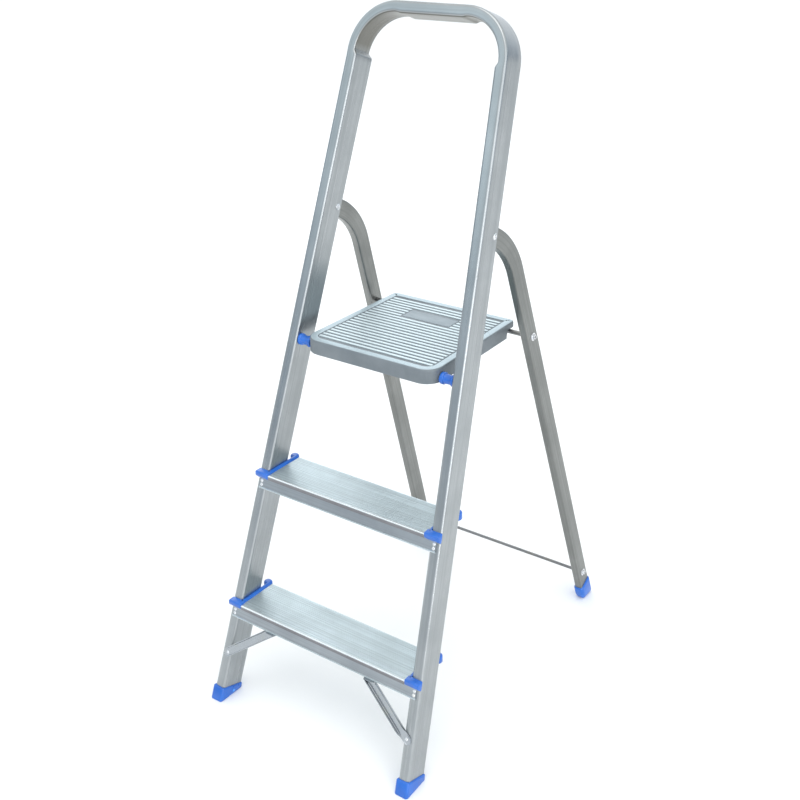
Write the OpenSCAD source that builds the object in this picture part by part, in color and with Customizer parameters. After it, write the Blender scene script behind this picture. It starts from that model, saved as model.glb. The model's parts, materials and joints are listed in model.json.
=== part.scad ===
// Folding platform step ladder: a leaning front frame bent from one channel section, two
// extruded treads, a moulded platform that tips up about two side pins, and a rear frame
// that swings forward about two rivets. Millimetres, +Z up, climber on the -Y side.

/* [Front frame] */
// Lean of the front frame back from vertical, degrees
lean = 19.2; // [16:0.1:22]
// Inward lean of each rail within the front frame, degrees
splay = 3.2; // [2:0.1:4]
// Outside width of the rails at the floor
base_w = 428; // [400:1:460]
// Length of the front frame along its slope
frame_len = 1238; // [1200:1:1300]
// Rail width, seen from the front
rail_w = 20; // [18:0.5:22]
// Rail depth, seen from the side
rail_d = 46; // [42:1:50]
// Wall of the rail channel
rail_wall = 1.4; // [1.2:0.1:2]
// Outer radius of the two bends of the hand rail
bend_r = 84; // [70:1:100]

/* [Steps] */
// Height of the lower tread's top
tread_1_z = 183; // [170:1:190]
// Height of the upper tread's top
tread_2_z = 411; // [400:1:420]
// Height of the platform's top
platform_z = 650; // [640:1:660]
// Depth of a tread from nose to rear edge
tread_d = 82; // [78:1:88]
// How far a tread's nose stands ahead of the rails
tread_nose = 10; // [8:1:12]
// Height of a tread's front skirt, measured along the rails
tread_skirt = 28; // [24:1:32]

/* [Platform] */
// Width of the platform at its front
platform_w = 262; // [250:1:266]
// Width of the platform at its rear edge
platform_rear_w = 254; // [246:1:256]
// Depth of the platform
platform_d = 258; // [250:1:262]
// Height of the platform's skirt
platform_h = 25; // [24:1:28]
// Number of grip grooves across the platform
groove_count = 22; // [16:1:24]
// Diameter of the two pivot bushes
bush_d = 20; // [16:1:22]

/* [Rear frame] */
// Angle of the rear legs from vertical, degrees
leg_angle = 18; // [16:0.5:19]
// Outward lean of each rear leg, degrees
leg_splay = 2.7; // [2:0.1:3.2]
// Rear leg width, seen from behind
leg_w = 15; // [13:0.5:15]
// Rear leg depth, seen from the side
leg_d = 31; // [28:1:32]
// Turn of the bend at the top of each rear leg, degrees
leg_bend = 50; // [45:1:55]
// Diameter of the upper cross rod, under the platform
upper_rod_d = 8; // [7:0.5:9]
// Diameter of the lower cross rod
lower_rod_d = 6; // [5:0.5:7]

/* [Hidden] */

$fn = 48;
rest_gap = 0.3;          // space between faces that slide past each other
run_gap = 0.05;          // radial clearance of a turning pin
seat_gap = 0.35;         // room under a level head for the slant of the face it lies on
far = 3000;              // larger than the whole ladder
floor_cut = 4;           // height at which rails and legs stop inside their feet
tail = 60;               // length that bars run on below the floor before they are cut

silver = [0.72, 0.74, 0.76];
bright = [0.82, 0.86, 0.88];
zinc = [0.62, 0.66, 0.70];
blue = [0.16, 0.40, 0.86];
steel = [0.55, 0.57, 0.60];
silver_plastic = [0.66, 0.68, 0.72];

// Centre of the hand rail's right-hand bend, in the slope plane
bend_s = frame_len - bend_r;
bend_x = rail_out(bend_s) - bend_r / cos(splay);
bend_steps = 20;

// Platform pivot and rear leg pivot, as length up the slope and depth behind the rail face
bush_s = 674;
bush_n = 13;
pivot_s = 903;
pivot_n = 38;

// Half the outside width of the rails at length s up the slope
function rail_out(s) = base_w / 2 - s * tan(splay);
function rail_in(s) = rail_out(s) - rail_w / cos(splay);
// Slope coordinates (length s, depth n) to upright coordinates, and heights back to s
function slope_y(s, n) = s * sin(lean) + n * cos(lean);
function slope_z(s, n) = s * cos(lean) - n * sin(lean);
function face_y(z) = z * tan(lean);
function face_s(z) = z / cos(lean);

bush_y = slope_y(bush_s, bush_n);
bush_z = slope_z(bush_s, bush_n);
pivot_y = slope_y(pivot_s, pivot_n);
pivot_z = slope_z(pivot_s, pivot_n);

// Front feet
foot_wall = 3;
foot_len = 27;           // up the rail, from the floor
foot_rivet_s = 16;
foot_rivet_n = 26;

// Treads: extrusion walls, ribs and fixings
tread_wall = 1.8;
rib_pitch = 4;
rib_h = 0.6;
tread_lap = 15;          // how far the nose laps over each rail's face
rivet_r = 2;
head_r = 3;
head_h = 1.4;
cap_proud = 3;
cap_front = 1.5;         // how far a cap stands ahead of the tread's nose
cap_strip = 7;
cap_block_h = 12;
knob_r = 8;
knob_x = 2;              // knob's centre, outward from the rail's inner side
knob_drop = 13;
tread_rivet_drop = [16.6, 23.8];
nose_r = 3;
nose_h = 8.5;            // height of the nose's upright face

// Braces: centre line in the slope plane, from the rail to the lower tread's skirt
brace_w = 16;
brace_d = 6;
brace_wall = 1.4;
brace_foot = [195, 95];
brace_top = [107, 164];
brace_tab = [20, 14];
// Underside of the lower tread's skirt, where the braces' tabs lie
lip_z = tread_1_z - tread_skirt * cos(lean) - 2;
lip_y = face_y(lip_z);

// Platform
platform_front = bush_y - 26;
platform_r = 30;
platform_rear_r = 10;
platform_wall = 2.5;
rim_w = 14;
groove_d = 1.2;
groove_pitch = 10.4;
groove_w = 5.2;
pad_size = [96, 32];
pin_r = 4;
lip_h = 10.8;            // height of the skirt where it is cut back over the rear rod
hook_x = 98;
hook_w = 16;
hook_wall = 4;
boss_wall = 3;
boss_len = 18;
rod_room = 6;            // room ahead of the rear rod for it to leave the hooks
rib_t = 2;
rib_low = 10.5;          // how far the deck's ribs reach below its top
pin_in = 14;             // reach of each pivot pin into the platform
platform_side_x = platform_half(bush_y - platform_front);

// Rear legs: bend radius, and its start along the straight part
leg_offset = 47;         // straight part's centre line behind the pivot
leg_wall = 1.3;
leg_bend_r = leg_offset / (1 - cos(leg_bend));
leg_run = leg_bend_r * sin(leg_bend);
leg_len = (pivot_z / cos(leg_splay) + leg_offset * sin(leg_angle)) / cos(leg_angle);
leg_top_x = rail_out(pivot_s) - rail_w / 2 + leg_w / 2;
pivot_r = 3;
pivot_head_r = 5.5;
pivot_head_h = 2.4;
washer_r = 7;
washer_t = 0.6;
bolt_r = 2.5;            // threaded ends of the cross rods
leg_tail = 5;            // the bend runs on past the pivot by this angle
upper_rod_run = 232;     // distance of each rod down the leg from the pivot's level
lower_rod_run = 830;
rod_head_h = 5;
rod_washer_t = 1.2;
thread_gap = 0.3;       // play of washers and nuts on the rods' ends
rear_foot_wall = 3;
rear_foot_len = 40;
// Upper cross rod, from the platform's front edge and top
rod_y = leg_y(upper_rod_run) - platform_front;
rod_z = leg_z(upper_rod_run) - platform_z;

// Front and rear ends of the feet on the floor; the origin lies midway between them
toe_y = -foot_wall / cos(lean);
heel_y = pivot_y + (leg_offset + leg_d / 2 + rear_foot_wall) / cos(leg_angle)
    + tan(leg_angle) * (pivot_z / cos(leg_splay) - tan(leg_splay));
origin_y = (toe_y + heel_y) / 2;

// ---------- placing ----------

module placed() { translate([0, -origin_y, 0]) children(); }

// Slope plane: X across, Y up the slope, Z out of the rails' front faces
module slope() { rotate([90 - lean, 0, 0]) children(); }

// Frame of the right-hand rail: outer side on X = 0, Y along the rail
module along_rail() { translate([base_w / 2, 0, 0]) rotate([0, 0, splay]) children(); }

module both_sides() {
    children();
    mirror([1, 0, 0]) children();
}

module side(right) {
    if (right) children();
    else mirror([1, 0, 0]) children();
}

// Frame of the right-hand rear leg, pivot at the origin: X outward with the leg's outer
// side on X = 0, Y rearward, and the straight part running down -Z at Y = leg_offset
module along_leg() {
    translate([leg_top_x, pivot_y, pivot_z])
        rotate([0, -leg_splay, 0]) rotate([leg_angle, 0, 0]) children();
}

module leg_bar(from, to) {
    translate([-leg_w / 2, leg_offset, -to]) linear_extrude(to - from) children();
}

module above_floor(z) {
    difference() {
        children();
        translate([-far, -far, z - 2 * far]) cube([2 * far, 2 * far, 2 * far]);
    }
}

// ---------- shared shapes ----------

module rounded(w, d, r) {
    translate([-w / 2 + r, -d / 2]) square([w - 2 * r, d]);
    translate([-w / 2, -d / 2 + r]) square([w, d - 2 * r]);
    for (x = [-1, 1], y = [-1, 1])
        translate([x * (w / 2 - r), y * (d / 2 - r)]) circle(r);
}

// Rail envelope: outer side on x = 0, front face on y = 0, rear edge at y = -rail_d
module rail_outline() {
    translate([-rail_w, -rail_d]) square([rail_w, rail_d]);
}

module rail_bar(from, to) {
    translate([0, to, 0]) rotate([90, 0, 0]) linear_extrude(to - from) children();
}

// Domed rivet along +Z: shank below the seat, low head above it
module rivet(r, shank, head_r, head_h) {
    dome_r = (head_r * head_r + head_h * head_h) / (2 * head_h);
    translate([0, 0, -shank]) cylinder(h = shank, r = r);
    intersection() {
        translate([0, 0, head_h - dome_r]) sphere(dome_r);
        cylinder(h = head_h, r = head_r);
    }
}

// ---------- front frame ----------

module rail_rivet_holes() {
    for (z = [tread_1_z, tread_2_z], drop = tread_rivet_drop)
        translate([rail_out(face_s(z)) - rail_w / 2, face_s(z) - drop, -rail_wall - 1])
            cylinder(h = rail_wall + 2, r = rivet_r);
    translate([brace_foot[0], brace_foot[1], -rail_wall - 1])
        cylinder(h = rail_wall + 2, r = rivet_r);
    translate([rail_in(bush_s) - 5, bush_s, -bush_n])
        rotate([0, 90, 0]) cylinder(h = 10, r = pin_r);
    translate([rail_in(pivot_s) - 5, pivot_s, -pivot_n])
        rotate([0, 90, 0]) cylinder(h = rail_w + 10, r = pivot_r);
    translate([rail_in(foot_rivet_s) - 5, foot_rivet_s, -foot_rivet_n])
        rotate([0, 90, 0]) cylinder(h = 10, r = rivet_r);
}

// Points of an arc about centre c, in equal steps between two angles
function arc(c, r, from, to) = [
    for (i = [0 : bend_steps]) let (a = from + (to - from) * i / bend_steps)
        c + r * [cos(a), sin(a)]
];

// Front view of the frame's outer edge, filled, drawn in by g all round
module frame_plan(g) {
    foot_x = rail_out(-tail) - g / cos(splay);
    polygon(concat(
        [[foot_x, -tail]],
        arc([bend_x, bend_s], bend_r - g, splay, 90),
        arc([-bend_x, bend_s], bend_r - g, 90, 180 - splay),
        [[-foot_x, -tail]]
    ));
}

// Bar of the rail's depth between two such outlines, its front at depth n
module frame_band(outer, inner, n) {
    difference() {
        translate([0, 0, -rail_d - n]) linear_extrude(rail_d) frame_plan(outer);
        translate([0, 0, -rail_d - n - 1]) linear_extrude(rail_d + 2) frame_plan(inner);
    }
}

// Channel bent twice, open along its rear edge
module front_frame() {
    color(silver) placed() above_floor(floor_cut) slope() difference() {
        frame_band(0, rail_w, 0);
        frame_band(rail_wall, rail_w - rail_wall, rail_wall);
        both_sides() rail_rivet_holes();
    }
}

// Cap over the foot of a rail, cut level at the floor
module front_foot(right) {
    color(blue) placed() side(right) above_floor(0) slope() difference() {
        along_rail() rail_bar(-tail, foot_len)
            translate([-rail_w / 2, -rail_d / 2])
                rounded(rail_w + 2 * foot_wall, rail_d + 2 * foot_wall, 2 * foot_wall);
        above_sole() along_rail() rail_bar(-tail, foot_len + 1) rail_outline();
        translate([rail_in(foot_rivet_s) - 10, foot_rivet_s, -foot_rivet_n])
            rotate([0, 90, 0]) cylinder(h = 11, r = rivet_r);
    }
}

// Keeps what lies above the rails' cut ends, from inside the slope plane
module above_sole() {
    rotate([lean - 90, 0, 0]) above_floor(floor_cut) slope() children();
}

module front_foot_rivets() {
    color(blue) placed() slope() both_sides()
        translate([rail_in(foot_rivet_s) - foot_wall - seat_gap, foot_rivet_s, -foot_rivet_n])
            rotate([0, -90, 0]) rivet(rivet_r, foot_wall + rail_wall + 1, head_r, head_h);
}

// ---------- treads ----------

// Side view of a tread's extrusion at height z: top plate, nose, skirt laid against the
// rails' faces, and a short rear skirt. Drawn with x = depth (+ rearward) and y = height.
module tread_profile() {
    drop = tread_skirt * cos(lean);
    slip = tread_skirt * sin(lean);
    difference() {
        union() {
            translate([-tread_nose + nose_r, -tread_wall - 1])
                square([tread_d - nose_r, tread_wall + 1]);
            translate([-tread_nose + nose_r, -nose_r]) circle(nose_r);
            translate([-tread_nose, -nose_h]) square([tread_wall, nose_h - nose_r]);
            polygon([[-tread_wall, 0], [-tread_wall - slip, -drop],
                     [-slip, -drop], [0, 0]]);
            translate([-slip - 3, -drop - 2]) square([11, 2.4]);
            translate([tread_d - tread_nose - 2 * tread_wall, -18])
                square([2 * tread_wall, 18]);
            translate([tread_d - tread_nose - 9, -18]) square([9, tread_wall]);
        }
        for (y = [-tread_nose + 5 : rib_pitch : tread_d - tread_nose - 5])
            translate([y, -rib_h]) square([rib_pitch / 2, 1]);
    }
}

module tread(z) {
    s = face_s(z);
    half = rail_out(s) - rail_w + tread_lap - 2;
    color(bright) placed() difference() {
        translate([-half, face_y(z), z]) rotate([90, 0, 90])
            linear_extrude(2 * half) tread_profile();
        slope() both_sides() {
            along_rail() rail_bar(s - 200, s + 200) translate([-rail_w - cap_strip, -400])
                square([rail_w + 200, 400]);
            tread_rivet_holes(s);
        }
        both_sides() {
            cap_block(z);
            cap_knob(z);
        }
        if (z == tread_1_z) both_sides() brace_top_hole();
    }
}

module tread_rivet_holes(s) {
    for (drop = tread_rivet_drop)
        translate([rail_out(s) - rail_w / 2, s - drop, -1]) cylinder(h = 9, r = rivet_r);
}

module tread_rivets() {
    color(steel) placed() slope() both_sides()
        for (z = [tread_1_z, tread_2_z], drop = tread_rivet_drop)
            translate([rail_out(face_s(z)) - rail_w / 2, face_s(z) - drop, tread_wall])
                rivet(rivet_r, tread_wall + rail_wall + 1, head_r, head_h);
}

// Moulded end cap: block over the nose and rail face, strip along the tread's end, and a
// round knob behind the rail, just ahead of where the rear leg folds to
module tread_cap(z, right) {
    s = face_s(z);
    color(blue) placed() side(right) difference() {
        union() {
            cap_block(z);
            cap_knob(z);
        }
        slope() along_rail() rail_bar(s - 100, s + 100) rail_outline();
        behind_rail(s, face_y(z) + tread_d - tread_nose - knob_r);
    }
}

// Block that closes a tread's right-hand end, over the rail's width
module cap_block(z) {
    s = face_s(z);
    intersection() {
        translate([0, face_y(z) - tread_nose - cap_front, z - cap_block_h])
            cube([far, tread_d + cap_front, cap_block_h + cap_proud]);
        slope() along_rail() translate([-rail_w - cap_strip, s - 60, -400])
            cube([rail_w + cap_strip + 1, 120, 440]);
    }
}

module cap_knob(z) {
    translate([rail_in(face_s(z)) + knob_x, face_y(z) + tread_d - tread_nose, z - knob_drop])
        cylinder(h = knob_drop + cap_proud, r = knob_r);
}

// The open space behind a rail, as far back as y
module behind_rail(s, y) {
    intersection() {
        slope() along_rail() translate([-rail_w, s - 200, -400]) cube([200, 400, 401 - rail_d]);
        translate([-far, -far, -far]) cube([2 * far, far + y, 2 * far]);
    }
}

// ---------- braces ----------

module brace(right) {
    run = brace_top - brace_foot;
    turn = atan2(run[1], run[0]);
    color(zinc) placed() side(right) difference() {
        union() {
            difference() {
                slope() translate([brace_foot[0], brace_foot[1], 0]) rotate([0, 0, turn])
                    translate([-10, 0, 0]) rotate([90, 0, 90]) linear_extrude(norm(run) + 30)
                        brace_section();
                translate([-far, -far, lip_z]) cube([2 * far, 2 * far, far]);
            }
            translate([brace_top[0] - brace_tab[0] / 2, lip_y - brace_d, lip_z - brace_wall])
                cube([brace_tab[0], brace_tab[1], brace_wall]);
        }
        slope() translate([brace_foot[0], brace_foot[1], -12]) cylinder(h = 24, r = rivet_r);
        brace_top_hole();
    }
}

// Shallow channel lying on the rail's face, flanges forward
module brace_section() {
    translate([-brace_w / 2, 0]) square([brace_w, brace_wall]);
    for (x = [-brace_w / 2, brace_w / 2 - brace_wall]) translate([x, 0]) square([brace_wall, brace_d]);
}

module brace_top_hole() {
    translate([brace_top[0], lip_y + 4, lip_z - 5]) cylinder(h = 12, r = rivet_r);
}

module brace_rivets() {
    color(steel) placed() both_sides() {
        slope() translate([brace_foot[0], brace_foot[1], brace_wall])
            rivet(rivet_r, brace_wall + rail_wall + 1, head_r, head_h);
        translate([brace_top[0], lip_y + 4, lip_z - brace_wall]) rotate([180, 0, 0])
            rivet(rivet_r, brace_wall + 2, head_r, head_h);
    }
}

// ---------- platform ----------

module platform_bush(right) {
    color(blue) placed() side(right) difference() {
        translate([platform_side_x + rest_gap, bush_y, bush_z]) rotate([0, 90, 0])
            cylinder(h = 60, r = bush_d / 2);
        translate([0, bush_y, bush_z]) rotate([0, 90, 0]) cylinder(h = 300, r = pin_r);
        slope() along_rail() rail_bar(bush_s - 100, bush_s + 100)
            translate([-rail_w, -200]) square([200, 400]);
    }
}

module platform_pins() {
    color(steel) placed() both_sides() {
        translate([platform_side_x - pin_in, bush_y, bush_z]) rotate([0, 90, 0])
            cylinder(h = rail_in(bush_s) + 4 - platform_side_x + pin_in, r = pin_r);
        translate([rail_in(bush_s) + rail_wall + 1, bush_y, bush_z]) rotate([0, 90, 0])
            cylinder(h = 3, r = 7);
    }
}

function platform_half(y) = (platform_w + (platform_rear_w - platform_w) * y / platform_d) / 2;

// Plan of the platform, drawn in by g all round; y from its front edge
module platform_plan(g) {
    front_r = platform_r - g;
    rear_r = platform_rear_r - g;
    front_x = platform_half(platform_r) - platform_r;
    rear_y = platform_d - platform_rear_r;
    rear_x = platform_half(rear_y) - platform_rear_r;
    polygon([
        [-front_x - front_r, platform_r], [-front_x, g], [front_x, g],
        [front_x + front_r, platform_r], [rear_x + rear_r, rear_y],
        [rear_x, platform_d - g], [-rear_x, platform_d - g], [-rear_x - rear_r, rear_y]
    ]);
    for (x = [-1, 1]) {
        translate([x * front_x, platform_r]) circle(front_r);
        translate([x * rear_x, rear_y]) circle(rear_r);
    }
}

module platform() {
    color(silver_plastic) placed() translate([0, platform_front, platform_z]) difference() {
        union() {
            difference() {
                translate([0, 0, -platform_h]) linear_extrude(platform_h) platform_plan(0);
                translate([0, 0, -platform_h - 1])
                    linear_extrude(platform_h + 1 - platform_wall - groove_d)
                        platform_plan(platform_wall);
                rear_cutback();
            }
            platform_bosses();
            platform_ribs();
            for (x = [-hook_x, hook_x]) translate([x - hook_w / 2, 0, 0]) hook();
        }
        grip_grooves();
        for (x = [-1, 1]) translate([x * platform_side_x, bush_y - platform_front, bush_z - platform_z])
            rotate([0, 90, 0]) cylinder(h = 32, r = pin_r + run_gap, center = true);
    }
}

// The rear of the skirt is cut back to a lip so that it passes over the upper rod
module rear_cutback() {
    translate([-far, rod_y - upper_rod_d / 2 - rod_room, -platform_h - 1])
        cube([2 * far, far, platform_h + 1 - lip_h]);
}

// Bosses that take the pivot pins
module platform_bosses() {
    for (x = [-1, 1])
        translate([x * (platform_side_x - boss_len / 2 - 1), bush_y - platform_front, bush_z - platform_z])
            rotate([0, 90, 0]) cylinder(h = boss_len, r = pin_r + boss_wall, center = true);
}

// Stiffening ribs under the deck
module platform_ribs() {
    for (x = [-60, 0, 60])
        translate([x - rib_t / 2, platform_wall, -rib_low])
            cube([rib_t, platform_d - 2 * platform_wall, rib_low - platform_wall]);
    for (y = [90, 150])
        translate([-platform_rear_w / 2 + platform_wall, y - rib_t / 2, -rib_low])
            cube([platform_rear_w - 2 * platform_wall, rib_t, rib_low - platform_wall]);
}

// Hook that drops over the upper cross rod; its mouth opens down and forward
module hook() {
    r = upper_rod_d / 2;
    translate([0, rod_y, rod_z]) rotate([90, 0, 90]) linear_extrude(hook_w) difference() {
        translate([-r - rest_gap - hook_wall, -r])
            square([2 * (r + rest_gap + hook_wall), r - rod_z - platform_wall]);
        circle(r + rest_gap);
        polygon([[-r - rest_gap, 0], [r + rest_gap, 0], [r + rest_gap, -20], [-r - rest_gap - 8, -20]]);
    }
}

// Shallow grooves from side to side, broken by a smooth pad near the rear
module grip_grooves() {
    first = (platform_d - (groove_count - 1) * groove_pitch) / 2;
    difference() {
        for (i = [0 : groove_count - 1]) let (y = first + i * groove_pitch)
            translate([rim_w - platform_half(y), y - groove_w / 2, -groove_d])
                cube([2 * (platform_half(y) - rim_w), groove_w, 2]);
        translate([-pad_size[0] / 2, platform_d * 0.72 - pad_size[1] / 2, -5])
            cube([pad_size[0], pad_size[1], 10]);
    }
}

// ---------- rear frame ----------

module leg_pivot_rivets() {
    span = rail_w / cos(splay);
    color(steel) placed() slope() both_sides()
        translate([rail_in(pivot_s), pivot_s, -pivot_n]) rotate([0, 90, 0]) {
            cylinder(h = span, r = pivot_r);
            translate([0, 0, span + seat_gap]) rivet(pivot_r, 1, pivot_head_r, pivot_head_h);
            translate([0, 0, -seat_gap]) rotate([180, 0, 0])
                rivet(pivot_r, 1, pivot_head_r, pivot_head_h);
        }
}

module leg_pivot_washers() {
    color(steel) placed() both_sides() along_leg() difference() {
        for (x = [rest_gap / 2, -leg_w - washer_t]) translate([x, 0, 0]) rotate([0, 90, 0])
            cylinder(h = washer_t - rest_gap / 2, r = washer_r);
        across_leg(pivot_r + run_gap);
    }
}

// Hole through a leg, level from side to side
module across_leg(r) {
    rotate([-leg_angle, 0, 0]) rotate([0, leg_splay, 0]) rotate([0, 90, 0])
        cylinder(h = 80, r = r, center = true);
}

// Side view of a leg, drawn in by g: x rearward and y upward from the pivot. The bend
// turns on past the pivot by run_on degrees.
module leg_side(g, run_on) {
    turn = leg_bend + run_on;
    translate([leg_offset - leg_bend_r, -leg_run]) {
        translate([leg_bend_r - leg_d / 2 + g, leg_run - leg_len - tail])
            square([leg_d - 2 * g, leg_len + tail - leg_run]);
        intersection() {
            difference() {
                circle(leg_bend_r + leg_d / 2 - g);
                circle(leg_bend_r - leg_d / 2 + g);
            }
            polygon([[0, 0], [far, 0], far * [cos(turn), sin(turn)]]);
        }
    }
}

module leg_layer(x, w) {
    translate([x, 0, 0]) rotate([90, 0, 90]) linear_extrude(w) children();
}

// Straight tube whose top bends forward to the pivot, inside the rail's channel
module rear_leg(right) {
    color(silver) placed() side(right) above_floor(floor_cut) along_leg() difference() {
        leg_layer(-leg_w, leg_w) leg_side(0, leg_tail);
        leg_layer(leg_wall - leg_w, leg_w - 2 * leg_wall) leg_side(leg_wall, leg_tail + 1);
        across_leg(pivot_r + run_gap);
        for (run = [upper_rod_run, lower_rod_run])
            translate([0, leg_offset, -run]) across_leg(bolt_r);
    }
}

// Place of a leg's centre line, and of its outer side, at distance run down the leg
function leg_drop(run) = run * cos(leg_angle) - leg_offset * sin(leg_angle);
function leg_y(run) = pivot_y + leg_offset * cos(leg_angle) + run * sin(leg_angle);
function leg_z(run) = pivot_z - leg_drop(run) * cos(leg_splay);
function leg_out(run) = leg_top_x + leg_drop(run) * sin(leg_splay);

module cross_rod(run, d) {
    inner = leg_out(run) - leg_w / cos(leg_splay);
    color(steel) placed() translate([0, leg_y(run), leg_z(run)]) rotate([0, 90, 0]) {
        cylinder(h = 2 * inner - 0.4, r = d / 2, center = true);
        cylinder(h = 2 * leg_out(run) + 2 * rod_head_h, r = bolt_r, center = true);
    }
}

module rod_washers() {
    color(steel) placed() both_sides() for (run = [upper_rod_run, lower_rod_run])
        translate([leg_out(run), leg_y(run), leg_z(run)]) rotate([0, 90 - leg_splay, 0])
            difference() {
                cylinder(h = rod_washer_t, r = washer_r);
                translate([0, 0, -1]) cylinder(h = 4, r = bolt_r + thread_gap);
            }
}

module rod_nuts() {
    color(steel) placed() both_sides() for (run = [upper_rod_run, lower_rod_run])
        translate([leg_out(run), leg_y(run), leg_z(run)]) rotate([0, 90 - leg_splay, 0])
            translate([0, 0, rod_washer_t]) difference() {
                cylinder(h = 3.5, r = 4.6, $fn = 6);
                translate([0, 0, -1]) cylinder(h = 6, r = bolt_r + thread_gap);
            }
}

// Slipper over the foot of a rear leg, cut level at the floor
module rear_foot(right) {
    top = leg_len - rear_foot_len;
    color(blue) placed() side(right) difference() {
        above_floor(0) along_leg() leg_bar(top, leg_len + tail)
            rounded(leg_w + 2 * rear_foot_wall, leg_d + 2 * rear_foot_wall, 4);
        above_floor(floor_cut) along_leg() leg_bar(top - 1, leg_len + tail)
            square([leg_w, leg_d], center = true);
    }
}

// ---------- nodes ----------

front_frame();
front_foot(false);  // front_foot_left
front_foot(true);  // front_foot_right
front_foot_rivets();
tread(tread_1_z);  // tread_lower
tread(tread_2_z);  // tread_upper
tread_cap(tread_1_z, false);  // tread_cap_lower_left
tread_cap(tread_1_z, true);  // tread_cap_lower_right
tread_cap(tread_2_z, false);  // tread_cap_upper_left
tread_cap(tread_2_z, true);  // tread_cap_upper_right
tread_rivets();
brace(false);  // brace_left
brace(true);  // brace_right
brace_rivets();
platform_bush(false);  // platform_bush_left
platform_bush(true);  // platform_bush_right
platform_pins();
platform();
leg_pivot_rivets();
leg_pivot_washers();
rear_leg(false);  // rear_leg_left
rear_leg(true);  // rear_leg_right
cross_rod(upper_rod_run, upper_rod_d);  // upper_cross_rod
cross_rod(lower_rod_run, lower_rod_d);  // lower_cross_rod
rod_washers();
rod_nuts();
rear_foot(false);  // rear_foot_left
rear_foot(true);  // rear_foot_right
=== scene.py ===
# Looks of the folding platform step ladder: every piece is meshed here in detail, in metres,
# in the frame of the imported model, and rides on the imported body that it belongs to.

import json
from math import cos, pi, radians, sin, tan

import bmesh
import bpy
from mathutils import Matrix, Vector


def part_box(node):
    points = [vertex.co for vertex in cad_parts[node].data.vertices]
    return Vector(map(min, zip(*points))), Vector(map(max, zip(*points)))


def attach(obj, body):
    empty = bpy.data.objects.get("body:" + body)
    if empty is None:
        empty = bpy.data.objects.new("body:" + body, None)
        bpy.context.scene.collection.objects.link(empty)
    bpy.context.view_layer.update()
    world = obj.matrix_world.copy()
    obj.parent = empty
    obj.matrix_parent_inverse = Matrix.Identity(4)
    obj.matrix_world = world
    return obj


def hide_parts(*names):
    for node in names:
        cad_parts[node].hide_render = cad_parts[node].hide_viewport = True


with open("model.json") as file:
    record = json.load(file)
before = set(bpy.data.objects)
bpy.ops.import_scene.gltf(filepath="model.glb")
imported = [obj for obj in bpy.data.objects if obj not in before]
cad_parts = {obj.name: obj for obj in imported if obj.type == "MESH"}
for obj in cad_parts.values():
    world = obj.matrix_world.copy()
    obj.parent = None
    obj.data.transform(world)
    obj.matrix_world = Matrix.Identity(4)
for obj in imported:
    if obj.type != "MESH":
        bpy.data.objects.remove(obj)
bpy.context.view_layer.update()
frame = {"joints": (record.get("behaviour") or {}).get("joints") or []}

# ---------- sizes, the same as the model's driving dimensions, in metres ----------

MM = 0.001
LEAN = radians(19.2)
SPLAY = radians(3.2)
BASE_W = 428 * MM
FRAME_LEN = 1238 * MM
RAIL_W = 20 * MM
RAIL_D = 46 * MM
RAIL_WALL = 1.4 * MM
RAIL_R = 4.8 * MM
BUSH_S = 674 * MM
PIVOT_S = 903 * MM
BEND_R = 84 * MM
FLOOR_CUT = 4 * MM

FOOT_WALL = 3 * MM
FOOT_LEN = 27 * MM
FOOT_RIVET = (16 * MM, 26 * MM)

TREAD_D = 82 * MM
TREAD_NOSE = 10 * MM
TREAD_SKIRT = 28 * MM
TREAD_WALL = 1.8 * MM
TREAD_END = 7 * MM
SKIRT_END = 7 * MM
RIB_PITCH = 4 * MM
RIB_H = 0.6 * MM
NOSE_R = 1.8 * MM
CAP_PROUD = 3 * MM
CAP_FRONT = 1.5 * MM
CAP_H = 12 * MM
KNOB_R = 8 * MM
KNOB_X = 2 * MM
KNOB_DROP = 13 * MM
TREAD_RIVETS = (16.6 * MM, 23.8 * MM)

BRACE_FOOT = Vector((195, 95)) * MM
BRACE_TOP = Vector((107, 164)) * MM
BRACE_WALL = 1.4 * MM

DECK_D = 258 * MM
DECK_FRONT_W = 262 * MM
DECK_REAR_W = 254 * MM
DECK_H = 25 * MM
DECK_WALL = 2.5 * MM
DECK_FRONT_R = 30 * MM
DECK_REAR_R = 10 * MM
RIM_W = 14 * MM
GROOVE_D = 1.2 * MM
GROOVE_PITCH = 10.4 * MM
RIDGES = 21
PAD = (96 * MM, 32 * MM)
PAD_AT = 0.72
LIP_H = 10.8 * MM
BUSH_R = 10 * MM
HOOK_X = 98 * MM
HOOK_W = 16 * MM

LEG_ANGLE = radians(18)
LEG_SPLAY = radians(2.7)
LEG_W = 15 * MM
LEG_D = 31 * MM
LEG_WALL = 1.3 * MM
LEG_R = 3 * MM
LEG_BEND = radians(50)
LEG_TAIL = radians(5)
LEG_OFFSET = 47 * MM
LEG_BEND_R = LEG_OFFSET / (1 - cos(LEG_BEND))
UPPER_ROD = (232 * MM, 4 * MM)
LOWER_ROD = (830 * MM, 3 * MM)
BOLT_R = 2.5 * MM
REAR_FOOT_LEN = 40 * MM
REAR_FOOT_WALL = 3 * MM

# Radius and height of a head; outer radius, bore and thickness of a washer.
RIVET_HEAD = (3 * MM, 1.4 * MM)
PIVOT_HEAD = (5.5 * MM, 2.4 * MM)
PIVOT_SPACER = (7 * MM, 3.1 * MM, 0.45 * MM)
ROD_WASHER = (7 * MM, 2.8 * MM, 1.2 * MM)

# Edges that turn by more than this stay sharp
SHARP = radians(38)

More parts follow.
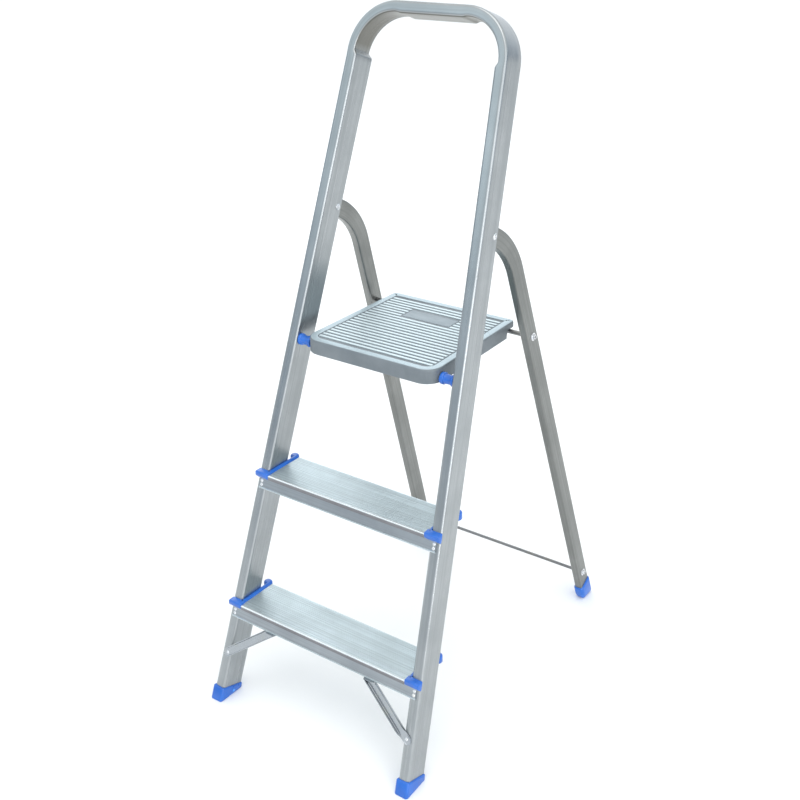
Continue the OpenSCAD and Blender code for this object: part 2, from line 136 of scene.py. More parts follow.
# ---------- places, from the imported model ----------

JOINTS = {j["name"]: Vector(j["pos_m"]) for j in frame["joints"]}
PIVOT = JOINTS["rear_frame_fold"]
BUSH = JOINTS["platform_fold"]
FACE_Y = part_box("front_foot_right")[0].y + FOOT_WALL / cos(LEAN)
TREAD_Z = {level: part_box("tread_" + level)[1].z for level in ("lower", "upper")}
DECK_LOW, DECK_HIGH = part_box("platform")
DECK_TOP = DECK_HIGH.z
DECK_FRONT = DECK_LOW.y
BEND_S = FRAME_LEN - BEND_R
BEND_RUN = BEND_R * (pi / 2 - SPLAY)


def rail_out(s):
    """Half the outside width of the rails at length s up the slope."""
    return BASE_W / 2 - s * tan(SPLAY)


def rail_in(s):
    return rail_out(s) - RAIL_W / cos(SPLAY)


def slope(x, s, n):
    """Point at length s up the slope and depth n behind the rails' front faces."""
    return Vector((x, FACE_Y + s * sin(LEAN) + n * cos(LEAN), s * cos(LEAN) - n * sin(LEAN)))


def slope_s(y, z):
    """Length up the slope of a point at depth y behind FACE_Y and height z."""
    return y * sin(LEAN) + z * cos(LEAN)


def along(s):
    """Length up the slope at which the rails' faces reach height s."""
    return s / cos(LEAN)


LEG_TOP = Vector((rail_out(PIVOT_S) - RAIL_W / 2 + LEG_W / 2, PIVOT.y, PIVOT.z))
LEG = Matrix.Translation(LEG_TOP) @ Matrix.Rotation(-LEG_SPLAY, 4, "Y") @ Matrix.Rotation(LEG_ANGLE, 4, "X")
LEG_LEN = (PIVOT.z / cos(LEG_SPLAY) + LEG_OFFSET * sin(LEG_ANGLE)) / cos(LEG_ANGLE)


def on_leg(x, y, z):
    """Point of the right-hand leg's frame: outer side on x = 0, straight part down -z."""
    return LEG @ Vector((x, y, z))


def rod_place(run):
    """Outer side of the right-hand leg where a cross rod passes, at length run down the leg."""
    drop = run * cos(LEG_ANGLE) - LEG_OFFSET * sin(LEG_ANGLE)
    y = PIVOT.y + LEG_OFFSET * cos(LEG_ANGLE) + run * sin(LEG_ANGLE)
    return Vector((LEG_TOP.x + drop * sin(LEG_SPLAY), y, PIVOT.z - drop * cos(LEG_SPLAY)))


# ---------- meshing ----------

def skin(bm, rings, caps=True, closed=True):
    """Quads between rings of equal length, with the distances along and around as UVs."""
    layer = bm.loops.layers.uv.get("grain") or bm.loops.layers.uv.new("grain")
    rows = [[bm.verts.new(p) for p in ring] for ring in rings]
    count = len(rings[0])
    around = [0.0]
    for i in range(count):
        around.append(around[-1] + (rings[0][(i + 1) % count] - rings[0][i]).length)
    distance = 0.0
    for low, high, a, b in zip(rows, rows[1:], rings, rings[1:]):
        step = sum((q - p).length for p, q in zip(a, b)) / count
        for i in range(count if closed else count - 1):
            j = (i + 1) % count
            face = bm.faces.new((low[i], low[j], high[j], high[i]))
            uvs = ((distance, around[i]), (distance, around[i + 1]),
                   (distance + step, around[i + 1]), (distance + step, around[i]))
            for loop, uv in zip(face.loops, uvs):
                loop[layer].uv = uv
        distance += step
    if caps:
        bm.faces.new(rows[0][::-1])
        bm.faces.new(rows[-1])
    return rows


def tube(bm, outer, inner):
    """Walled tube: outer rings up, inner rings back down, joined at both ends."""
    skin(bm, outer + inner[::-1] + outer[:1], caps=False)


def turning(origin, axis):
    """Gives the points about an axis from their height, angle and radius."""
    w = Vector(axis).normalized()
    u = w.orthogonal().normalized()
    v = w.cross(u)
    return lambda h, a, r: origin + w * h + (u * cos(a) + v * sin(a)) * r


def full_turn(steps):
    return [2 * pi * i / steps for i in range(steps)]


def lathe(bm, origin, axis, profile, steps=40):
    """Turned solid: profile is a list of (distance along the axis, radius)."""
    at = turning(origin, axis)
    skin(bm, [[at(h, a, r) for a in full_turn(steps)] for h, r in profile])


def arc(x, y, r, start, end, steps):
    """Points about (x, y) from one angle to another, in degrees."""
    angles = [radians(start + (end - start) * i / steps) for i in range(steps + 1)]
    return [(x + r * cos(a), y + r * sin(a)) for a in angles]


def mm(points):
    """Points given in millimetres."""
    return [(a * MM, b * MM) for a, b in points]


def rounded_rect(w, d, r, steps=5):
    """Points of a rectangle centred on the origin with rounded corners."""
    corners = ((w / 2 - r, d / 2 - r, 0), (r - w / 2, d / 2 - r, 90),
               (r - w / 2, r - d / 2, 180), (w / 2 - r, r - d / 2, 270))
    return [point for x, y, a in corners for point in arc(x, y, r, a, a + 90, steps)]


def block(bm, low, high):
    """Plain bar between two corners, for a piece that gets rounded edges afterwards."""
    x0, y0, z0 = low
    x1, y1, z1 = high
    plan = ((x0, y0), (x1, y0), (x1, y1), (x0, y1))
    skin(bm, [[Vector((x, y, z)) for x, y in plan] for z in (z0, z1)])


def rivet_head(bm, seat, axis, r, h):
    """Low domed head with a small dimple in its middle, as a punch leaves it."""
    dome = (r * r + h * h) / (2 * h)
    profile = [(0, r), (0.12 * h, r)]
    for share in (0.93, 0.82, 0.68, 0.52, 0.38):
        profile.append((h - dome + (dome ** 2 - (share * r) ** 2) ** 0.5, share * r))
    top = profile[-1][0]
    profile += [(top - 0.05 * h, 0.3 * r), (top - 0.25 * h, 0.2 * r), (top - 0.3 * h, 0.06 * r)]
    lathe(bm, seat, axis, profile, 28)


def mirrored(point):
    return Vector((-point.x, point.y, point.z))


def flip(rings):
    return [[mirrored(p) for p in ring] for ring in rings]


def sided(rings, side):
    return rings if side == "right" else flip(rings)


def make(name, bm, material, body, nodes=(), bevel=0.0):
    """Turns bm into a piece with sound normals and its material, and rides it on its body."""
    bmesh.ops.recalc_face_normals(bm, faces=bm.faces)
    mesh = bpy.data.meshes.new(name)
    bm.to_mesh(mesh)
    bm.free()
    mesh.polygons.foreach_set("use_smooth", [True] * len(mesh.polygons))
    mesh.set_sharp_from_angle(angle=SHARP)
    mesh.materials.append(material)
    piece = bpy.data.objects.new(name, mesh)
    bpy.context.scene.collection.objects.link(piece)
    if bevel:
        rounding = piece.modifiers.new("rounding", "BEVEL")
        rounding.width = bevel
        rounding.segments = 2
        rounding.limit_method = "ANGLE"
        rounding.angle_limit = SHARP
        rounding.harden_normals = True
    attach(piece, body)
    if nodes:
        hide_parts(*nodes)
    return piece


# ---------- materials ----------

class Nodes:
    """Short ways to add nodes to a tree and join them."""

    def __init__(self, tree):
        self.tree = tree

    def add(self, kind, inputs=(), **settings):
        node = self.tree.nodes.new(kind)
        for name, value in settings.items():
            setattr(node, name, value)
        for key, value in dict(inputs).items():
            if isinstance(value, bpy.types.NodeSocket):
                self.tree.links.new(value, node.inputs[key])
            else:
                node.inputs[key].default_value = value
        return node

    def spread(self, value, low, high, to_low=0, to_high=1):
        """Remaps a value between low and high, clamped."""
        inputs = {"Value": value, "From Min": low, "From Max": high, "To Min": to_low, "To Max": to_high}
        return self.add("ShaderNodeMapRange", inputs).outputs["Result"]

    def blend(self, factor, a, b):
        """Mixes two colours; each is a socket or its red, green and blue."""
        a, b = (c if isinstance(c, bpy.types.NodeSocket) else (*c, 1.0) for c in (a, b))
        return self.add("ShaderNodeMix", {0: factor, 6: a, 7: b}, data_type="RGBA").outputs[2]


class Surface(Nodes):
    """A Principled material, with the coordinates and patterns that the finishes share."""

    def __init__(self, name, **sockets):
        self.material = bpy.data.materials.new(name)
        self.material.use_nodes = True
        super().__init__(self.material.node_tree)
        self.shader = self.tree.nodes["Principled BSDF"]
        for socket, value in sockets.items():
            self.shader.inputs[socket.replace("_", " ")].default_value = value

    def grain(self):
        return self.add("ShaderNodeUVMap", uv_map="grain").outputs["UV"]

    def own(self):
        """The piece's own coordinates, which move with it."""
        return self.add("ShaderNodeTexCoord").outputs["Object"]

    def stretch(self, vector, scale):
        return self.add("ShaderNodeMapping", {"Vector": vector, "Scale": scale}).outputs["Vector"]

    def grain_uv(self, lengthwise, crosswise):
        """Coordinates along and across a sweep, scaled for stretched noise."""
        return self.stretch(self.grain(), (lengthwise, crosswise, 1))

    def place(self, scale=(1, 1, 1)):
        return self.stretch(self.own(), scale)

    def noise(self, vector, scale, detail=2.0, roughness=0.5):
        inputs = {"Vector": vector, "Scale": scale, "Detail": detail, "Roughness": roughness}
        return self.add("ShaderNodeTexNoise", inputs).outputs["Fac"]

    def math(self, operation, a, b):
        return self.add("ShaderNodeMath", {0: a, 1: b}, operation=operation).outputs[0]

    def window(self, value, low, high, soft):
        """1 between low and high, fading to 0 over soft on either side."""
        rise = self.spread(value, low - soft, low)
        fall = self.spread(value, high, high + soft, 1, 0)
        return self.math("MULTIPLY", rise, fall)

    def bump(self, height, distance, strength, under=None):
        inputs = {"Height": height, "Distance": distance, "Strength": strength}
        if under is not None:
            inputs["Normal"] = under
        return self.add("ShaderNodeBump", inputs).outputs["Normal"]

    def finish(self, **sockets):
        for name, value in sockets.items():
            self.tree.links.new(value, self.shader.inputs[name.replace("_", " ")])
        return self.material


def brushed(name, dark, light, rough, streak=0.10, painted_shade=None):
    """Drawn aluminium: fine die lines along the bar, broad faint streaks and soft blotches.

    painted_shade is a window of the distances along and around the bar where the skin is painted darker and
    warmer, as painted shade on the bar's inner side; past it, inside the bar, the skin is matt as extruded."""
    g = Surface(name, Metallic=1.0)
    lines = g.noise(g.grain_uv(7, 2600), 1.0, 3.0, 0.65)
    streaks = g.noise(g.grain_uv(1.6, 260), 1.0, 3.0, 0.6)
    cloud = g.noise(g.place(), 13.0, 4.0, 0.6)
    scuffs = g.noise(g.place((1, 1, 0.35)), 95.0, 5.0, 0.7)
    tone = g.blend(g.spread(cloud, 0.32, 0.68), dark, light)
    shade = [c * (1 - streak) for c in dark]
    tone = g.blend(g.spread(streaks, 0.42, 0.66, 0, 0.75), tone, shade)
    tone = g.blend(g.spread(scuffs, 0.66, 0.74, 0, 0.35), tone, [c * 0.8 for c in dark])
    if painted_shade:
        along_bar, round_bar = painted_shade
        split = g.add("ShaderNodeSeparateXYZ", {"Vector": g.grain()})
        inside = g.math("MULTIPLY", g.window(split.outputs["X"], *along_bar, 30 * MM),
                        g.window(split.outputs["Y"], *round_bar, 2 * MM))
        # painted shade: a darker, warmer tone on the inner side over the bends and the bar
        painted_light_tone = (dark[0] * 0.46, dark[1] * 0.42, dark[2] * 0.36)
        tone = g.blend(g.spread(inside, 0, 1, 0, 0.9), tone, painted_light_tone)
        mill = g.spread(split.outputs["Y"], round_bar[1] + 2 * MM, round_bar[1] + 6 * MM, 1.0, 0.2)
        g.finish(Metallic=mill)
    roughness = g.spread(streaks, 0.3, 0.7, rough - 0.06, rough + 0.07)
    wear_and_highlight = g.spread(scuffs, 0.64, 0.76, 0.0, 0.14)
    coarse = g.bump(streaks, 0.00012, 0.3)
    normal = g.bump(lines, 0.00004, 0.5, coarse)
    return g.finish(Base_Color=tone, Roughness=g.math("ADD", roughness, wear_and_highlight), Normal=normal)


def plated(name, dark, light, rough):
    """Zinc plated steel: crystalline mottling, a faint yellow-blue cast and handling marks."""
    g = Surface(name, Metallic=1.0)
    mottle = g.noise(g.place(), 700.0, 4.0, 0.6)
    cast = g.noise(g.place(), 38.0, 3.0, 0.5)
    tone = g.blend(g.spread(mottle, 0.25, 0.75), dark, light)
    warm = (light[0], light[1] * 0.97, light[2] * 0.86)
    tone = g.blend(g.spread(cast, 0.52, 0.7, 0, 0.6), tone, warm)
    roughness = g.spread(cast, 0.3, 0.7, rough - 0.05, rough + 0.07)
    normal = g.bump(mottle, 0.00001, 0.25)
    return g.finish(Base_Color=tone, Roughness=roughness, Normal=normal)


def moulded(name, deep, body, rough, grain, grain_depth):
    """Moulded plastic: slight flow tint, a fine spark-eroded grain and faint pale streaks."""
    g = Surface(name, Metallic=0.0, IOR=1.5, Coat_Weight=0.35, Coat_Roughness=0.16)
    flow = g.noise(g.place(), 32.0, 3.0, 0.55)
    skin_grain = g.noise(g.place(), grain, 3.0, 0.6)
    scratch = g.noise(g.place((1, 0.2, 1)), 210.0, 4.0, 0.7)
    tone = g.blend(g.spread(flow, 0.35, 0.68), deep, body)
    pale = [c + (0.85 - c) * 0.3 for c in body]
    tone = g.blend(g.spread(scratch, 0.67, 0.76, 0, 0.35), tone, pale)
    roughness = g.spread(flow, 0.3, 0.7, rough - 0.05, rough + 0.07)
    normal = g.bump(skin_grain, grain_depth, 0.6)
    return g.finish(Base_Color=tone, Roughness=roughness, Normal=normal)


def deck_plastic(name, deep, body, painted_light_tone):
    """Silver-grey deck: grained sides and field, and top faces painted pale in streaks, a painted highlight
    of the overhead light.
    """
    g = Surface(name, Metallic=0.35, IOR=1.5)
    grain = g.noise(g.place(), 900.0, 3.0, 0.6)
    flow = g.noise(g.place(), 17.0, 4.0, 0.6)
    top_streak_noise = g.noise(g.place((1, 6, 1)), 60.0, 4.0, 0.65)
    height = g.add("ShaderNodeSeparateXYZ", {"Vector": g.own()}).outputs["Z"]
    # painted highlight: faces at the deck's top height are painted paler than the sides
    lit_tops = g.spread(height, DECK_TOP - 0.6 * MM, DECK_TOP - 0.12 * MM)
    tone = g.blend(g.spread(flow, 0.35, 0.65), deep, body)
    wear_and_highlight = [c * 1.14 for c in painted_light_tone]
    lit_top_tone = g.blend(g.spread(top_streak_noise, 0.35, 0.65), painted_light_tone, wear_and_highlight)
    tone = g.blend(lit_tops, tone, lit_top_tone)
    roughness = g.spread(top_streak_noise, 0.3, 0.7, 0.38, 0.52)
    normal = g.bump(grain, 0.00008, 0.55)
    return g.finish(Base_Color=tone, Roughness=roughness, Normal=normal)


def floor_paint():
    g = Surface("floor_paint")
    cloud = g.noise(g.place(), 1.3, 4.0, 0.6)
    fine = g.noise(g.place(), 180.0, 2.0, 0.5)
    tone = g.blend(g.spread(cloud, 0.3, 0.7), (0.90, 0.90, 0.90), (0.92, 0.92, 0.92))
    roughness = g.spread(fine, 0.3, 0.7, 0.75, 0.9)
    return g.finish(Base_Color=tone, Roughness=roughness)


# Where the inner side, over the bends and the bar between, is painted darker as painted shade: metres along
# and around.
PAINTED_SHADE_ZONE = ((1.14, 1.50), (66 * MM, 110 * MM))
# the frame's finish carries painted shade on the inner side of the bends and the top bar
FRAME_METAL = brushed("frame_aluminium", (0.36, 0.38, 0.39), (0.44, 0.46, 0.47), 0.30, painted_shade=PAINTED_SHADE_ZONE)
LEG_METAL = brushed("leg_aluminium", (0.215, 0.22, 0.212), (0.285, 0.29, 0.28), 0.32)
TREAD_METAL = brushed("tread_aluminium", (0.54, 0.60, 0.62), (0.65, 0.72, 0.745), 0.46, 0.14)
# painted highlight: near-white skin over the treads' rounded nose edge
NOSE_HIGHLIGHT_METAL = brushed("nose_painted_highlight_aluminium", (0.82, 0.86, 0.88), (0.93, 0.95, 0.96), 0.24)
# painted shade: dark strip for the shadow on the upright face below the nose
NOSE_SHADE_METAL = brushed("nose_band_painted_shade", (0.22, 0.22, 0.235), (0.31, 0.31, 0.325), 0.42)
# painted shade: a darker copy of the tread aluminium, for the front skirt under the nose
SKIRT_SHADED_METAL = brushed("skirt_aluminium_painted_shade", (0.34, 0.365, 0.39), (0.43, 0.46, 0.485), 0.38)
ZINC = plated("zinc_plate", (0.34, 0.36, 0.385), (0.45, 0.48, 0.51), 0.20)
ROD_STEEL = plated("rod_steel", (0.20, 0.20, 0.205), (0.27, 0.27, 0.275), 0.28)
FASTENER = plated("fastener_steel", (0.66, 0.67, 0.69), (0.84, 0.85, 0.87), 0.20)
BLUE = moulded("blue_plastic", (0.007, 0.105, 0.48), (0.014, 0.145, 0.60), 0.32, 1400.0, 0.00005)
# glossier and painted a lighter blue than the caps, as painted highlight on the push rivets
BLUE_GLOSS_AND_HIGHLIGHT = moulded("blue_rivet_painted_highlight", (0.07, 0.30, 0.82), (0.10, 0.36, 0.90), 0.25, 1400.0, 0.00002)
# the third colour is the painted highlight on the deck's top faces
DECK = deck_plastic("platform_plastic", (0.16, 0.185, 0.205), (0.205, 0.23, 0.25), (0.39, 0.47, 0.51))
# painted highlight: the ridges are a paler copy of the deck plastic, for the light they catch
RIDGE_HIGHLIGHT_PLASTIC = deck_plastic("platform_ridge_painted_highlight", (0.225, 0.27, 0.30), (0.27, 0.315, 0.345), (0.56, 0.65, 0.68))

# ---------- front frame ----------

def channel_outline(g):
    """The channel's skin at inset g, open at the rear: (distance in from the outer side, depth)."""
    r = RAIL_R - g
    depths = [RAIL_D * share for share in (1.0, 0.75, 0.5, 0.25)]
    corners = arc(RAIL_R, RAIL_R, r, 180, 270, 6) + arc(RAIL_W - RAIL_R, RAIL_R, r, 270, 360, 6)
    return [(g, n) for n in depths] + corners + [(RAIL_W - g, n) for n in depths[::-1]]


def channel_section():
    """Closed section of the channel, with a softened edge at each end of its two sides."""
    outer = channel_outline(0)
    inner = channel_outline(RAIL_WALL)[::-1]
    soft = 0.35 * MM
    outer[0] = (0, RAIL_D - soft)
    outer[-1] = (RAIL_W, RAIL_D - soft)
    inner[0] = (RAIL_W - RAIL_WALL, RAIL_D - soft)
    inner[-1] = (RAIL_WALL, RAIL_D - soft)
    crest = [(RAIL_W - soft, RAIL_D), (RAIL_W - RAIL_WALL + soft, RAIL_D)]
    foot = [(RAIL_WALL - soft, RAIL_D), (soft, RAIL_D)]
    return outer + crest + inner + foot


def crush(path):
    """How far the inner side is pressed in, 0 to 1, at distance path past the bend's start."""
    if path < 0:
        t = 1 + path / (9 * MM)
    elif path < BEND_RUN:
        return 1 - 0.65 * path / BEND_RUN
    else:
        t = 1 - (path - BEND_RUN) / (8 * MM)
    t = min(max(t, 0.0), 1.0)
    return t * t * (3 - 2 * t) * (1 if path < 0 else 0.35)


def frame_ring(x, s, turn, path, section):
    """Section of the channel at (x, s) on its outer edge, facing angle turn."""
    press = crush(path)
    ring = []
    for a, n in section:
        give = press * (4.5 + 4.0 * n / RAIL_D) * MM
        a *= 1 - give / RAIL_W
        ring.append(slope(x - a * cos(turn), s - a * sin(turn), n))
    return ring


def frame_foot_ring(section):
    """First section, cut level just above the floor."""
    ring = []
    for a, n in section:
        s = (FLOOR_CUT + n * sin(LEAN)) / cos(LEAN)
        start = s + a * sin(SPLAY)
        ring.append(slope(rail_out(start) - a * cos(SPLAY), s, n))
    return ring


def front_frame():
    section = channel_section()
    centre = rail_out(BEND_S) - BEND_R / cos(SPLAY)
    rings = [frame_foot_ring(section)]
    corner = BEND_S + BEND_R * sin(SPLAY)
    for s in (0.05, 0.2, 0.4, 0.6, 0.8, 1.0):
        rings.append(frame_ring(rail_out(s), s, SPLAY, s - corner, section))
    for back in (20, 9, 7.5, 6, 4.5, 3, 1.5):
        s = corner - back * MM
        rings.append(frame_ring(rail_out(s), s, SPLAY, s - corner, section))
    steps = 26
    for i in range(steps + 1):
        turn = SPLAY + (pi / 2 - SPLAY) * i / steps
        x = centre + BEND_R * cos(turn)
        s = BEND_S + BEND_R * sin(turn)
        rings.append(frame_ring(x, s, turn, BEND_R * (turn - SPLAY), section))
    for share in (0.97, 0.94, 0.91, 0.88, 0.8, 0.5, 0.1):
        x = centre * share
        rings.append(frame_ring(x, FRAME_LEN, pi / 2, BEND_RUN + centre - x, section))
    rings += flip(rings)[::-1]
    bm = bmesh.new()
    skin(bm, rings)
    make("front_frame_channel", bm, FRAME_METAL, "front_frame", ["front_frame"])


# ---------- front feet ----------

def foot_ring(g, s=None, z=None):
    """Outline round a rail, grown by FOOT_WALL less g, square to the rail or level at z."""
    w = RAIL_W + 2 * (FOOT_WALL - g)
    d = RAIL_D + 2 * (FOOT_WALL - g)
    ring = []
    for u, v in rounded_rect(w, d, max(4.5 * MM - g, 2.2 * MM), 6):
        a = RAIL_W / 2 + u
        n = RAIL_D / 2 + v
        if z is not None:
            level = (z + n * sin(LEAN)) / cos(LEAN)
            start = level + a * sin(SPLAY)
        else:
            start = s
        ring.append(slope(rail_out(start) - a * cos(SPLAY), start - a * sin(SPLAY), n))
    return ring


def front_foot(side):
    rings = [foot_ring(g * MM, z=z * MM) for g, z in ((1.4, 0), (0.5, 0.3), (0.1, 0.9), (0, 1.8), (0, 6))]
    for g, back in ((0, 2.6), (0.3, 1.9), (2.2, 0.1), (2.75, 0), (3.05, 0.2)):
        rings.append(foot_ring(g * MM, s=FOOT_LEN - back * MM))
    bm = bmesh.new()
    skin(bm, sided(rings, side))
    name = "front_foot_" + side
    make(name + "_cap", bm, BLUE, "front_frame", [name])


def front_foot_rivets():
    bm = bmesh.new()
    s, n = FOOT_RIVET
    profile = mm(((-2, 3), (0, 3), (0.5, 2.9), (1.1, 2.2), (1.45, 1.2), (1.5, 0.3)))
    for sign in (1, -1):
        seat = slope(sign * (rail_in(s) - FOOT_WALL), s, n)
        lathe(bm, seat, (-sign, 0, 0), profile, 24)
    # the rivets' lighter blue is a painted highlight
    make("front_foot_push_rivets", bm, BLUE_GLOSS_AND_HIGHLIGHT, "front_frame", ["front_foot_rivets"])


# ---------- treads ----------

def tread_end(y, z, inset):
    """Half width at a point of the tread's side view, inset from the rails' outer sides."""
    return rail_out(slope_s(y, z)) - inset / cos(SPLAY)


def extrude_side(bm, z, profile, inset):
    """Sweeps a side view (depth, height) from rail to rail, its ends following the rails."""
    y0 = z * tan(LEAN)
    shares = (-1, -0.5, 0, 0.5, 1)
    rings = []
    for share in shares:
        ring = []
        for y, h in profile:
            half = tread_end(y0 + y, z + h, inset)
            ring.append(Vector((share * half, FACE_Y + y0 + y, z + h)))
        rings.append(ring)
    skin(bm, rings)


def tread_plate():
    """Side view of the ribbed top, the rounded nose and the rear skirt."""
    rear = TREAD_D - TREAD_NOSE
    points = [(rear - 0.5 * MM, -18 * MM), (rear, -17.5 * MM), (rear, -1.2 * MM),
              (rear - 0.35 * MM, -0.35 * MM), (rear - 1.2 * MM, 0)]
    count = int((TREAD_D - 10 * MM) / RIB_PITCH)
    first = 5 * MM - TREAD_NOSE
    for i in range(count, -1, -1):
        y = first + i * RIB_PITCH
        points += [(y + RIB_PITCH / 2, 0), (y + RIB_PITCH / 2 - 0.3 * MM, -RIB_H),
                   (y + 0.3 * MM, -RIB_H), (y, 0)]
    points += arc(NOSE_R - TREAD_NOSE, -NOSE_R, NOSE_R, 90, 180, 8)
    under = -TREAD_WALL - 1 * MM
    points += [(-TREAD_NOSE, -8.1 * MM), (-TREAD_NOSE + 0.4 * MM, -8.5 * MM),
               (-TREAD_NOSE + 1.4 * MM, -8.5 * MM), (-TREAD_NOSE + TREAD_WALL, -8.1 * MM),
               (-TREAD_NOSE + TREAD_WALL, -4 * MM), (-TREAD_NOSE + 3 * MM, under),
               (rear - 2 * TREAD_WALL, under), (rear - 2 * TREAD_WALL, -16.2 * MM),
               (rear - 9 * MM, -16.2 * MM), (rear - 9 * MM, -18 * MM)]
    return points


def nose_highlight_skin():
    """Side view of a thin skin over the nose's rounded edge, painted near white as a painted highlight."""
    outer, inner = (arc(NOSE_R - TREAD_NOSE, -NOSE_R, NOSE_R + skin_h, 90, 180, 6)
                    for skin_h in (0.03 * MM, -0.4 * MM))
    return outer + inner[::-1]


def nose_shade_strip(bm, z):
    """Knurled strip on the upright face below the nose: shallow teeth side by side, in a dark material that
    is painted shade under the nose.
    """
    y0 = z * tan(LEAN)
    half = tread_end(y0, z, RAIL_W + TREAD_END)
    front = FACE_Y + y0 - TREAD_NOSE
    pitch = 2.4 * MM
    count = int(2 * half / pitch)
    rings = []
    for i in range(2 * count + 1):
        x = -half + i * half / count
        out = 0.02 if i % 2 else 0.32
        side = mm(((0.02, -2.1), (out, -2.7), (out, -7.6), (0.02, -8.3), (-0.6, -8.3), (-0.6, -2.1)))
        rings.append([Vector((x, front - proud, z + h)) for proud, h in side])
    skin(bm, rings)


def skirt_side():
    """Side view of the front skirt, which lies on the rails' faces, and its rounded lip."""
    top = -2 * MM
    low = 1 * MM - TREAD_SKIRT * cos(LEAN)
    wall = TREAD_WALL / cos(LEAN)
    return [(top * tan(LEAN), top), (top * tan(LEAN) - wall, top),
            (low * tan(LEAN) - wall, low), (low * tan(LEAN), low)]


def lip_bead():
    """Side view of the rounded bead along the skirt's lower edge."""
    drop = TREAD_SKIRT * cos(LEAN)
    slip = TREAD_SKIRT * sin(LEAN)
    return [(-slip - 1 * MM, -drop + 1.1 * MM), (-slip - 2.6 * MM, -drop + 0.7 * MM),
            (-slip - 3 * MM, -drop), (-slip - 3 * MM, -drop - 1.4 * MM),
            (-slip - 2.5 * MM, -drop - 2 * MM), (-(drop + 2 * MM) * tan(LEAN), -drop - 2 * MM)]


def lip_side():
    """Side view of the flange that turns in under the skirt, between the rails."""
    drop = TREAD_SKIRT * cos(LEAN)
    slip = TREAD_SKIRT * sin(LEAN)
    return [(-slip - 1 * MM, -drop - 2 * MM), (8 * MM - slip, -drop - 2 * MM),
            (8 * MM - slip, -drop - 0.2 * MM), (-slip - 1 * MM, -drop - 0.2 * MM)]


def tread(level):
    z = TREAD_Z[level]
    bm = bmesh.new()
    extrude_side(bm, z, tread_plate(), RAIL_W + TREAD_END)
    extrude_side(bm, z, lip_bead(), SKIRT_END)
    extrude_side(bm, z, lip_side(), RAIL_W + 0.3 * MM)
    name = "tread_" + level
    make(name + "_extrusion", bm, TREAD_METAL, "front_frame", [name])
    # the front skirt gets the darker copy of the tread aluminium, as painted shade under the nose
    bm = bmesh.new()
    extrude_side(bm, z, skirt_side(), SKIRT_END)
    make(name + "_skirt", bm, SKIRT_SHADED_METAL, "front_frame")
    # the nose skin is painted near white, a painted highlight along the rounded edge
    bm = bmesh.new()
    extrude_side(bm, z, nose_highlight_skin(), RAIL_W + TREAD_END)
    make(name + "_nose_painted_highlight", bm, NOSE_HIGHLIGHT_METAL, "front_frame")
    # the strip below the nose is painted dark as painted shade under the nose
    bm = bmesh.new()
    nose_shade_strip(bm, z)
    make(name + "_nose_shade_band", bm, NOSE_SHADE_METAL, "front_frame")


def cap_block_side(g):
    """Side view of a cap's block over the nose: flat top, rounded front, chevron below."""
    top = CAP_PROUD - g
    front = -TREAD_NOSE - CAP_FRONT + g
    low = -CAP_H + g
    r = 2.6 * MM
    points = [(top * tan(LEAN), top)]
    points += arc(front + r, top - r, r, 90, 180, 5)
    points += [(front, -5.2 * MM), (front + 0.5 * MM, -6.2 * MM), (-5.6 * MM, low),
               (low * tan(LEAN), low)]
    return points


def cap_block(bm, z, side):
    """Block across the rail's face, rounded at both ends."""
    y0 = z * tan(LEAN)
    span = RAIL_W + TREAD_END + 0.9 * MM
    rings = []
    for g, share in ((1.4, 0.0), (0.45, 0.02), (0, 0.07), (0, 0.6), (0.0, 0.93), (0.45, 0.98), (1.4, 1.0)):
        ring = []
        for y, h in cap_block_side(g * MM):
            x = tread_end(y0 + y, z + h, RAIL_W + TREAD_END) + share * span
            ring.append(Vector((x, FACE_Y + y0 + y, z + h)))
        rings.append(ring)
    skin(bm, sided(rings, side))


def cap_ledge(bm, z, side):
    """Small raised stop on the block, against the rail's face."""
    y0 = z * tan(LEAN)
    top = CAP_PROUD
    profile = [(-3.4 * MM, -4 * MM), (-3.4 * MM, top - 0.3 * MM), (-2.4 * MM, top - 0.02 * MM),
               (0.2 * MM, top - 0.02 * MM), (-1.4 * MM, -4 * MM)]
    rings = []
    for share in (0.1, 0.5, 0.9):
        ring = []
        for y, h in profile:
            x = tread_end(y0 + y, z + h, RAIL_W + TREAD_END) + share * RAIL_W
            ring.append(Vector((x, FACE_Y + y0 + y, z + h)))
        rings.append(ring)
    skin(bm, sided(rings, side))


def cap_strip(bm, z, side):
    """Strip along the tread's end, its inner side sloping to the tread, back to the knob."""
    y0 = z * tan(LEAN)
    top = CAP_PROUD
    section = [(0, -CAP_H), (0, top - 0.8 * MM), (0.25 * MM, top - 0.2 * MM), (0.9 * MM, top),
               (2.6 * MM, top), (3.4 * MM, top - 0.3 * MM), (TREAD_END - 0.5 * MM, 0.7 * MM),
               (TREAD_END, 0.2 * MM), (TREAD_END, -CAP_H)]
    rings = []
    for y in (-2, 12, 30, 50, 66, 71):
        ring = []
        for u, h in section:
            x = tread_end(y0 + y * MM, z + h, RAIL_W) - u
            ring.append(Vector((x, FACE_Y + y0 + y * MM, z + h)))
        rings.append(ring)
    skin(bm, sided(rings, side))


def cap_knob(bm, z, side):
    """Round knob behind the rail, just ahead of where the leg folds to."""
    x = rail_in(along(z)) + KNOB_X
    y = FACE_Y + z * tan(LEAN) + TREAD_D - TREAD_NOSE
    foot = Vector((x if side == "right" else -x, y, z - KNOB_DROP))
    h = KNOB_DROP + CAP_PROUD
    r = 4.5 * MM
    profile = [(0, KNOB_R - 2.4 * MM), (0.7 * MM, KNOB_R - 0.9 * MM), (2.2 * MM, KNOB_R)]
    profile += arc(h - r, KNOB_R - r, r, 90, 0, 7)
    lathe(bm, foot, (0, 0, 1), profile)


